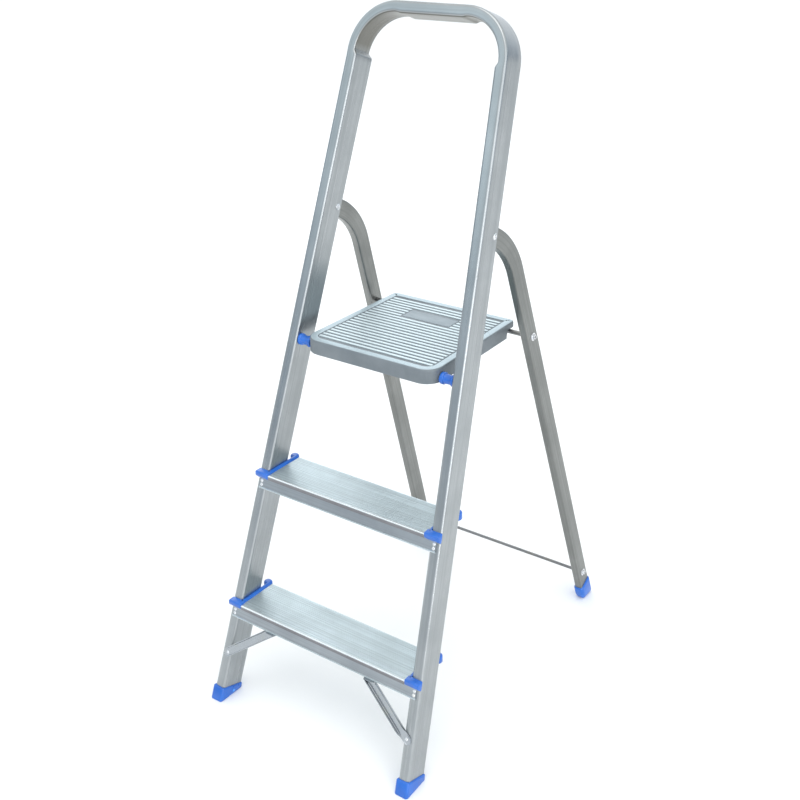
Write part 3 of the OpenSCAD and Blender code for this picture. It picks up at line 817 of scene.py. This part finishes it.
def tread_cap(level, side):
    z = TREAD_Z[level]
    bm = bmesh.new()
    cap_block(bm, z, side)
    cap_ledge(bm, z, side)
    cap_strip(bm, z, side)
    cap_knob(bm, z, side)
    name = "tread_cap_" + level + "_" + side
    make(name + "_moulding", bm, BLUE, "front_frame", [name])


def tread_rivets():
    bm = bmesh.new()
    forward = slope(0, 0, -1) - slope(0, 0, 0)
    for z in TREAD_Z.values():
        for drop in TREAD_RIVETS:
            s = along(z) - drop
            x = rail_out(along(z)) - RAIL_W / 2
            for sign in (1, -1):
                rivet_head(bm, slope(sign * x, s, -TREAD_WALL + 0.05 * MM), forward, *RIVET_HEAD)
    make("tread_rivet_heads", bm, FASTENER, "front_frame", ["tread_rivets"])


# ---------- braces ----------

LIP_Z = TREAD_Z["lower"] - TREAD_SKIRT * cos(LEAN) - 2 * MM
LIP_Y = LIP_Z * tan(LEAN)


def brace_section(half, flange):
    """Shallow channel: (across, forward of the rail's face), with rounded corners."""
    t = BRACE_WALL
    f = max(flange, t + 0.05 * MM)
    r = 1.2 * MM
    left = [(-half, f), (-half, r), (-half + 0.35 * MM, 0.35 * MM), (-half + r, 0)]
    right = [(-x, y) for x, y in left[::-1]]
    inner_right = [(half - t, f), (half - t, t + 0.6 * MM), (half - t - 0.6 * MM, t)]
    inner_left = [(-x, y) for x, y in inner_right[::-1]]
    return left + right + inner_right + inner_left


def brace(side):
    run = (BRACE_TOP - BRACE_FOOT).normalized()
    across = Vector((-run.y, run.x))
    top_s = (LIP_Z - 0.4 * MM) / cos(LEAN)
    rings = []
    for t, half, flange in ((-9.6, 2.4, 0), (-8.6, 4.8, 0), (-6.4, 6.7, 0), (-3, 7.7, 0), (4, 8, 0.6),
                            (9, 8, 2.4), (14, 8, 4.8), (20, 8, 6), (60, 8, 6), (88, 8, 6), (None, 8, 6)):
        ring = []
        for u, f in brace_section(half * MM, flange * MM):
            if t is None:
                reach = (top_s - f * tan(LEAN) - BRACE_FOOT.y - across.y * u) / run.y
            else:
                reach = t * MM
            flat = BRACE_FOOT + run * reach + across * u
            ring.append(slope(flat.x, flat.y, -f - 0.02 * MM))
        rings.append(ring)
    bm = bmesh.new()
    skin(bm, sided(rings, side))
    plan = rounded_rect(20 * MM, 14 * MM, 3 * MM)
    tab_y = FACE_Y + LIP_Y + 1 * MM
    tab = [[Vector((BRACE_TOP.x + x * grow, tab_y + y * grow, LIP_Z - drop * MM)) for x, y in plan]
           for grow, drop in ((0.97, 0.02), (1, 0.3), (1, 1.1), (0.97, 1.4))]
    skin(bm, sided(tab, side))
    make("brace_" + side + "_strip", bm, ZINC, "front_frame", ["brace_" + side])


def brace_rivets():
    bm = bmesh.new()
    forward = slope(0, 0, -1) - slope(0, 0, 0)
    for sign in (1, -1):
        low = slope(sign * BRACE_FOOT.x, BRACE_FOOT.y, -BRACE_WALL)
        rivet_head(bm, low, forward, *RIVET_HEAD)
        high = Vector((sign * BRACE_TOP.x, FACE_Y + LIP_Y + 4 * MM, LIP_Z - BRACE_WALL))
        rivet_head(bm, high, (0, 0, -1), *RIVET_HEAD)
    make("brace_rivet_heads", bm, FASTENER, "front_frame", ["brace_rivets"])


# ---------- platform ----------

def deck_half(y):
    return (DECK_FRONT_W + (DECK_REAR_W - DECK_FRONT_W) * y / DECK_D) / 2


def deck_outline(g, z, cut=0.0):
    """Plan of the deck, drawn in by g; cut raises the outline behind the skirt's step."""
    front_x = deck_half(DECK_FRONT_R) - DECK_FRONT_R
    rear_y = DECK_D - DECK_REAR_R
    rear_x = deck_half(rear_y) - DECK_REAR_R
    step_y = rod_place(UPPER_ROD[0]).y - UPPER_ROD[1] - 6 * MM - DECK_FRONT
    plan = arc(front_x, DECK_FRONT_R, DECK_FRONT_R - g, -90, 0, 12)
    for y in (0.35 * DECK_D, 0.7 * DECK_D, step_y - 3 * MM, step_y - 0.2 * MM, step_y + 3 * MM):
        share = (y - DECK_FRONT_R) / (rear_y - DECK_FRONT_R)
        x0 = front_x + DECK_FRONT_R
        x1 = rear_x + DECK_REAR_R
        plan.append((x0 + (x1 - x0) * share - g, y))
    plan += arc(rear_x, rear_y, DECK_REAR_R - g, 0, 90, 8)
    plan += [(-x, y) for x, y in plan[::-1]]
    ring = []
    for x, y in plan:
        raised = min(max((y - step_y + 3 * MM) / (2.8 * MM), 0), 1) * cut
        ring.append(Vector((x, DECK_FRONT + y, z + raised)))
    return ring


def deck_shell(bm):
    """Tray with a rounded top edge, a flat rim and a shallow field for the ridges."""
    low = DECK_TOP - DECK_H
    cut = DECK_H - LIP_H
    rings = [deck_outline(DECK_WALL, DECK_TOP - DECK_WALL - GROOVE_D)]
    for g, rise in mm(((0, 0.5), (-0.5, 0))):
        rings.append(deck_outline(DECK_WALL + g, low + rise, cut))
    for g, rise in mm(((0.6, 0), (0.1, 0.6))):
        rings.append(deck_outline(g, low + rise, cut))
    edge = 3.4 * MM
    for g, z in arc(edge, DECK_TOP - edge, edge, 180, 90, 7):
        rings.append(deck_outline(g, z))
    for g, drop in ((-1 * MM, 0), (-0.5 * MM, 0.15 * MM), (0, GROOVE_D - 0.2 * MM), (0.4 * MM, GROOVE_D)):
        rings.append(deck_outline(RIM_W + g, DECK_TOP - drop))
    skin(bm, rings)


def ridge(bm, y, x0, x1):
    """One rounded grip ridge from x0 to x1, tapered to its ends."""
    base = DECK_TOP - GROOVE_D - 0.1 * MM
    tall = GROOVE_D + 0.06 * MM
    half = ((3.6, 0), (3.45, 0.42), (3.0, 0.7), (2.2, 0.88), (0.9, 1))
    section = [(-u, v) for u, v in half] + list(half[::-1])
    rings = []
    ends = ((0, 0.55, 0.3), (0.6, 0.8, 0.8), (1.6, 0.95, 1), (3, 1, 1))
    places = [(x0 + e * MM, w, h) for e, w, h in ends] + [(x1 - e * MM, w, h) for e, w, h in ends[::-1]]
    for x, w, h in places:
        rings.append([Vector((x, y + u * w * MM, base + v * h * tall)) for u, v in section])
    skin(bm, rings)


def deck_ridges():
    """Ridges from side to side; a smooth pad takes the place of their middles."""
    bm = bmesh.new()
    middle = DECK_FRONT + DECK_D / 2
    pad_y = DECK_FRONT + PAD_AT * DECK_D
    for i in range(RIDGES):
        y = middle + (i - (RIDGES - 1) / 2) * GROOVE_PITCH
        half = deck_half(y - DECK_FRONT) - RIM_W - 1.4 * MM
        edge = min(y - DECK_FRONT, DECK_D - y + DECK_FRONT) - RIM_W
        corner = DECK_FRONT_R - RIM_W
        if i < RIDGES / 2 and edge < corner:
            half -= corner - (corner ** 2 - (corner - max(edge, 0)) ** 2) ** 0.5
        if abs(y - pad_y) < PAD[1] / 2 + 1.5 * MM:
            ridge(bm, y, -half, -PAD[0] / 2 - 1.5 * MM)
            ridge(bm, y, PAD[0] / 2 + 1.5 * MM, half)
        else:
            ridge(bm, y, -half, half)
    plan = rounded_rect(*PAD, 2 * MM)
    pad = [[Vector((x * grow, pad_y + y * grow, DECK_TOP - drop * MM)) for x, y in plan]
           for grow, drop in ((1, 1.25), (1, 0.85), (0.99, 0.72))]
    skin(bm, pad)
    make("platform_ridges", bm, RIDGE_HIGHLIGHT_PLASTIC, "platform")


def deck():
    bm = bmesh.new()
    deck_shell(bm)
    make("platform_deck", bm, DECK, "platform", ["platform"])
    deck_ridges()


def hook_side():
    """Side view of a hook about the rod's centre: (depth, height), its mouth down and forward."""
    r = UPPER_ROD[1] + 0.3 * MM
    out = r + 4 * MM
    top = DECK_TOP - DECK_WALL - GROOVE_D - rod_place(UPPER_ROD[0]).z
    front = [(-out, top), (-out, -3.2 * MM), (0.8 * MM - out, -4 * MM), (-r - 1.9 * MM, -4 * MM), (-r, 0)]
    rear = [(r, -3.4 * MM), (r + 0.6 * MM, -4 * MM), (out - 0.8 * MM, -4 * MM), (out, -3.2 * MM), (out, top)]
    return front + arc(0, 0, r, 165, 0, 11) + rear


def deck_underside():
    """Ribs, pivot bosses and hooks below the deck."""
    bm = bmesh.new()
    top = DECK_TOP - DECK_WALL - GROOVE_D + 0.3 * MM
    low = DECK_TOP - 10.5 * MM
    for x in (-60, 0, 60):
        block(bm, ((x - 1) * MM, DECK_FRONT + DECK_WALL - 0.3 * MM, low),
              ((x + 1) * MM, DECK_FRONT + DECK_D - DECK_WALL + 0.3 * MM, top))
    for y in (90, 150):
        half = deck_half(y * MM) - DECK_WALL + 0.3 * MM
        block(bm, (-half, DECK_FRONT + (y - 1) * MM, low), (half, DECK_FRONT + (y + 1) * MM, top))
    start = deck_half(BUSH.y - DECK_FRONT) - 1.2 * MM
    boss = mm(((0, 7), (17, 7), (18.4, 6.2), (18.6, 4.2), (16, 4.1)))
    rod = rod_place(UPPER_ROD[0])
    for sign in (1, -1):
        lathe(bm, Vector((sign * start, BUSH.y, BUSH.z)), (-sign, 0, 0), boss)
        rings = []
        for g in (-0.5, 0.5):
            x = sign * HOOK_X + g * HOOK_W
            rings.append([Vector((x, rod.y + y, rod.z + h)) for y, h in hook_side()])
        skin(bm, rings)
    make("platform_underside", bm, DECK, "platform", bevel=0.3 * MM)


def bush(side):
    sign = 1 if side == "right" else -1
    start = deck_half(BUSH.y - DECK_FRONT) + 0.3 * MM
    length = rail_in(BUSH_S) - start - 0.1 * MM
    r = BUSH_R
    profile = [(0, r - 1 * MM), (0.3 * MM, r - 0.3 * MM), (1 * MM, r), (6 * MM, r), (6.6 * MM, r - 0.4 * MM),
               (7.2 * MM, r - 1.6 * MM), (8.4 * MM, r - 2 * MM), (length - 7 * MM, r - 2 * MM),
               (length - 5.8 * MM, r - 1.8 * MM), (length - 5 * MM, r - 0.5 * MM), (length - 4 * MM, r),
               (length - 0.5 * MM, r), (length, r - 0.4 * MM)]
    bm = bmesh.new()
    lathe(bm, Vector((sign * start, BUSH.y, BUSH.z)), (sign, 0, 0), profile, 48)
    name = "platform_bush_" + side
    make(name + "_moulding", bm, BLUE, "front_frame", [name])


def platform_pins():
    """Headed pins; only their heads, inside the rails, can be seen."""
    bm = bmesh.new()
    start = deck_half(BUSH.y - DECK_FRONT) - 14 * MM
    end = rail_in(BUSH_S) + RAIL_WALL + 1 * MM
    for sign in (1, -1):
        lathe(bm, Vector((sign * start, BUSH.y, BUSH.z)), (sign, 0, 0),
              [(0, 3 * MM), (1 * MM, 4 * MM), (end - start, 4 * MM), (end - start, 6.6 * MM),
               (end - start + 0.4 * MM, 7 * MM), (end - start + 2.2 * MM, 6.8 * MM),
               (end - start + 2.8 * MM, 5.6 * MM), (end - start + 3 * MM, 3 * MM)])
    make("platform_pivot_pins", bm, FASTENER, "front_frame", ["platform_pins"])


# ---------- rear frame ----------

def leg_ring(g, turn=None, z=None, run=None):
    """Section of a leg drawn in by g: round the bend, at run down the leg, or level at z."""
    ring = []
    for u, v in rounded_rect(LEG_W - 2 * g, LEG_D - 2 * g, LEG_R - g * 0.8, 5):
        x = u - LEG_W / 2
        if turn is not None:
            reach = LEG_BEND_R + v
            ring.append(on_leg(x, LEG_OFFSET - LEG_BEND_R + reach * cos(turn),
                               reach * sin(turn) - LEG_BEND_R * sin(LEG_BEND)))
        else:
            point = on_leg(x, LEG_OFFSET + v, 0 if run is None else -run)
            if z is not None:
                down = LEG.to_3x3() @ Vector((0, 0, 1))
                point = point + down * ((z - point.z) / down.z)
            ring.append(point)
    return ring


def rear_leg(side):
    layers = []
    for g in (0, LEG_WALL):
        rings = [leg_ring(g, z=FLOOR_CUT)]
        rings += [leg_ring(g, run=run) for run in (0.8, 0.6, 0.4, 0.25, LEG_BEND_R * sin(LEG_BEND) + 4 * MM)]
        steps = 22
        rings += [leg_ring(g, turn=(LEG_BEND + LEG_TAIL) * i / steps) for i in range(steps + 1)]
        layers.append(sided(rings, side))
    bm = bmesh.new()
    tube(bm, *layers)
    make("rear_leg_" + side + "_tube", bm, LEG_METAL, "rear_frame", ["rear_leg_" + side])


def leg_pivots():
    """Long rivets through the rails, and the thin washers that space the legs."""
    bm = bmesh.new()
    span = RAIL_W / cos(SPLAY)
    for sign in (1, -1):
        inner = Vector((sign * rail_in(PIVOT_S), PIVOT.y, PIVOT.z))
        outer = Vector((sign * (rail_in(PIVOT_S) + span), PIVOT.y, PIVOT.z))
        lathe(bm, inner, (sign, 0, 0), [(0, 3 * MM), (span, 3 * MM)], 24)
        rivet_head(bm, inner, (-sign, 0, 0), *PIVOT_HEAD)
        rivet_head(bm, outer, (sign, 0, 0), *PIVOT_HEAD)
    make("leg_pivot_rivet_heads", bm, FASTENER, "front_frame", ["leg_pivot_rivets"])
    bm = bmesh.new()
    for x in (0.15 * MM, -LEG_W - 0.6 * MM):
        origin = on_leg(x, 0, 0)
        axis = on_leg(x + 1, 0, 0) - origin
        for centre, direction in ((origin, axis), (mirrored(origin), mirrored(axis))):
            washer(bm, centre, direction, *PIVOT_SPACER)
    make("leg_pivot_spacers", bm, FASTENER, "rear_frame", ["leg_pivot_washers"])


def washer(bm, origin, axis, r, bore, t):
    """Flat ring with eased edges."""
    e = 0.12 * t
    section = ((0, bore), (0, r - e), (e, r), (t - e, r), (t, r - e), (t, bore + e), (t - e, bore))
    at = turning(origin, axis)
    rings = [[at(h, a, q) for h, q in section] for a in full_turn(36)]
    skin(bm, rings + rings[:1], caps=False)


def nut(bm, origin, axis):
    """Hexagon nut with its corners chamfered by a cone, as a turned blank has."""
    corner = 4.6 * MM
    flat = corner * cos(pi / 6)
    h = 3.5 * MM
    limits = ((0, flat), (0.35 * MM, corner), (h - 0.7 * MM, corner), (h - 0.05 * MM, flat * 0.98),
              (h, flat * 0.9), (h, 2.9 * MM), (h - 0.5 * MM, 2.5 * MM))
    at = turning(origin, axis)
    sides = [(a, flat / cos((a + pi / 6) % (pi / 3) - pi / 6)) for a in full_turn(36)]
    skin(bm, [[at(level, a, min(reach, limit)) for a, reach in sides] for level, limit in limits])


def rod_fixings():
    """Washers and nuts on the outer sides of the legs, at both cross rods."""
    washers = bmesh.new()
    nuts = bmesh.new()
    tilt = Vector((cos(LEG_SPLAY), 0, sin(LEG_SPLAY)))
    for run, _ in (UPPER_ROD, LOWER_ROD):
        place = rod_place(run)
        for point, axis in ((place, tilt), (mirrored(place), mirrored(tilt))):
            washer(washers, point, axis, *ROD_WASHER)
            nut(nuts, point + axis * ROD_WASHER[2], axis)
    make("rod_washer_rings", washers, FASTENER, "rear_frame", ["rod_washers"])
    make("rod_hex_nuts", nuts, FASTENER, "rear_frame", ["rod_nuts"])


def cross_rod(name, run, r):
    """Round bar with shouldered, threaded ends that pass through the legs."""
    place = rod_place(run)
    inner = place.x - LEG_W / cos(LEG_SPLAY) - 0.2 * MM
    reach = place.x + 5 * MM
    thread = 0.5 * MM
    end = []
    steps = int((reach - inner - 1.2 * MM) / thread)
    for i in range(steps):
        low = BOLT_R - (0.18 * MM if i % 2 else 0)
        end.append((reach - 0.8 * MM - i * thread, low))
    half = [(reach, BOLT_R - 0.6 * MM), *end, (inner, BOLT_R), (inner, r - 0.4 * MM), (inner - 0.4 * MM, r)]
    profile = [(-x, q) for x, q in half] + [(x, q) for x, q in half[::-1]]
    bm = bmesh.new()
    lathe(bm, Vector((0, place.y, place.z)), (1, 0, 0), profile, 32)
    make(name + "_bar", bm, ROD_STEEL, "rear_frame", [name])


def rear_foot_ring(g, run=None, z=None, slant=0.0):
    """Outline round a leg, grown by REAR_FOOT_WALL less g, square to the leg or level at z."""
    grow = 2 * (REAR_FOOT_WALL - g)
    down = LEG.to_3x3() @ Vector((0, 0, 1))
    ring = []
    for u, v in rounded_rect(LEG_W + grow, LEG_D + grow, max(7 * MM - g, 2.4 * MM), 6):
        start = -run if run is not None else 0
        point = on_leg(u - LEG_W / 2, LEG_OFFSET + v, start + slant * v)
        if z is not None:
            point = point + down * ((z - point.z) / down.z)
        ring.append(point)
    return ring


def rear_foot(side):
    top = LEG_LEN - REAR_FOOT_LEN
    toe = ((6.0, 0), (4.1, 0.5), (2.6, 1.5), (1.4, 3.1), (0.6, 5.4), (0.1, 8.4), (0, 11))
    rings = [rear_foot_ring(g * MM, z=z * MM) for g, z in toe]
    slant = 0.12
    for g, back in ((0, 5.2), (0.3, 4.4), (2.2, 2.6), (2.75, 2.4), (3.05, 2.6)):
        rings.append(rear_foot_ring(g * MM, run=top + back * MM, slant=slant))
    bm = bmesh.new()
    skin(bm, sided(rings, side))
    make("rear_foot_" + side + "_slipper", bm, BLUE, "rear_frame", ["rear_foot_" + side])


# ---------- the ladder ----------

def build():
    front_frame()
    front_foot_rivets()
    for level in TREAD_Z:
        tread(level)
    tread_rivets()
    brace_rivets()
    deck()
    deck_underside()
    platform_pins()
    leg_pivots()
    rod_fixings()
    cross_rod("upper_cross_rod", *UPPER_ROD)
    cross_rod("lower_cross_rod", *LOWER_ROD)
    for side in ("right", "left"):
        front_foot(side)
        brace(side)
        bush(side)
        rear_leg(side)
        rear_foot(side)
        for level in TREAD_Z:
            tread_cap(level, side)


build()

# ---------- floor, light and camera ----------

def floor():
    bm = bmesh.new()
    bmesh.ops.create_grid(bm, x_segments=8, y_segments=8, size=40)
    mesh = bpy.data.meshes.new("floor")
    bm.to_mesh(mesh)
    bm.free()
    mesh.materials.append(floor_paint())
    piece = bpy.data.objects.new("floor", mesh)
    bpy.context.scene.collection.objects.link(piece)


def softbox(name, place, target, size, power, colour):
    light = bpy.data.lights.new(name, "AREA")
    light.shape = "RECTANGLE"
    light.size, light.size_y = size
    light.energy = power
    light.color = colour
    lamp = bpy.data.objects.new(name, light)
    lamp.location = place
    lamp.rotation_mode = "QUATERNION"
    lamp.rotation_quaternion = (Vector(target) - Vector(place)).to_track_quat("-Z", "Y")
    lamp.visible_camera = False
    bpy.context.scene.collection.objects.link(lamp)


# Height of the heading, 0 to 1, and the surround's colour there.
SKY_RAMP = (
    (0.0, (0.33, 0.39, 0.47)),
    (0.16, (0.42, 0.50, 0.60)),
    (0.36, (0.80, 0.92, 0.97)),
    (0.6, (0.98, 1.0, 1.0)),
)
# Bright walls of the studio: heading, cosine at full and at no strength, colour.
SKY_GLOWS = (
    ((0.83, -0.56, 0.05), 0.86, 0.66, (1.7, 1.75, 1.8)),
    ((-0.40, 0.90, 0.20), 0.95, 0.60, (1.0, 1.05, 1.1)),
    ((-0.56, -0.71, 0.42), 0.995, 0.95, (1.15, 1.32, 1.40)),
)


def sky():
    """Plain studio surround: cool near the horizon, white overhead, with a few bright walls.

    Seen directly it is plain white paper, so only the lighting and the gloss have the walls."""
    world = bpy.data.worlds.new("studio")
    world.use_nodes = True
    g = Nodes(world.node_tree)
    heading = g.add("ShaderNodeTexCoord").outputs["Generated"]
    height = g.add("ShaderNodeSeparateXYZ", {0: heading}).outputs["Z"]
    ramp = g.add("ShaderNodeValToRGB", {0: height})
    steps = ramp.color_ramp.elements
    steps.remove(steps[0])
    steps[0].position = SKY_RAMP[0][0]
    steps[0].color = (*SKY_RAMP[0][1], 1)
    for position, colour in SKY_RAMP[1:]:
        steps.new(position).color = (*colour, 1)
    shade = ramp.outputs["Color"]
    for wall, narrow, wide, glow in SKY_GLOWS:
        facing = g.add("ShaderNodeVectorMath", {0: heading, 1: wall}, operation="DOT_PRODUCT")
        shade = g.blend(g.spread(facing.outputs["Value"], wide, narrow), shade, glow)
    walls = g.tree.nodes["Background"]
    g.tree.links.new(shade, walls.inputs["Color"])
    walls.inputs["Strength"].default_value = 1.12
    paper = g.add("ShaderNodeBackground", {"Color": (1, 1, 1, 1), "Strength": 1.0})
    seen = g.add("ShaderNodeLightPath").outputs["Is Camera Ray"]
    join = g.add("ShaderNodeMixShader", {0: seen, 1: walls.outputs[0], 2: paper.outputs[0]})
    g.tree.links.new(join.outputs[0], g.tree.nodes["World Output"].inputs["Surface"])
    bpy.context.scene.world = world


def camera():
    """At the photograph's viewing angle: from the right front, looking down on the treads."""
    azimuth, elevation, roll = radians(36.16), radians(24.7), radians(-1.3)
    look = Vector((-sin(azimuth) * cos(elevation), cos(azimuth) * cos(elevation), -sin(elevation)))
    right = Vector((cos(azimuth), sin(azimuth), 0))
    up = right.cross(look)
    across = right * cos(roll) + up * sin(roll)
    upward = up * cos(roll) - right * sin(roll)
    lens = bpy.data.cameras.new("camera")
    lens.sensor_width = 36
    lens.lens = 51.05
    lens.shift_y = -0.031
    eye = bpy.data.objects.new("camera", lens)
    turn = Matrix((across, upward, -look)).transposed().to_4x4()
    eye.matrix_world = Matrix.Translation((1.026, -1.438, 1.377)) @ turn
    bpy.context.scene.collection.objects.link(eye)
    bpy.context.scene.camera = eye


floor()
sky()
softbox("rear_left_box", (-2.9, 3.4, 2.6), (0, 0, 0.45), (3.4, 1.8), 30, (0.92, 0.98, 1.0))
softbox("overhead_box", (0.4, -0.6, 3.6), (0, 0, 0.3), (2.4, 2.4), 26, (1.0, 0.99, 0.98))
softbox("right_front_strip", (2.9, -1.9, 0.8), (0, -0.1, 0.6), (0.35, 2.2), 12, (1.0, 1.0, 1.0))
bpy.context.scene.view_settings.view_transform = "Standard"
camera()
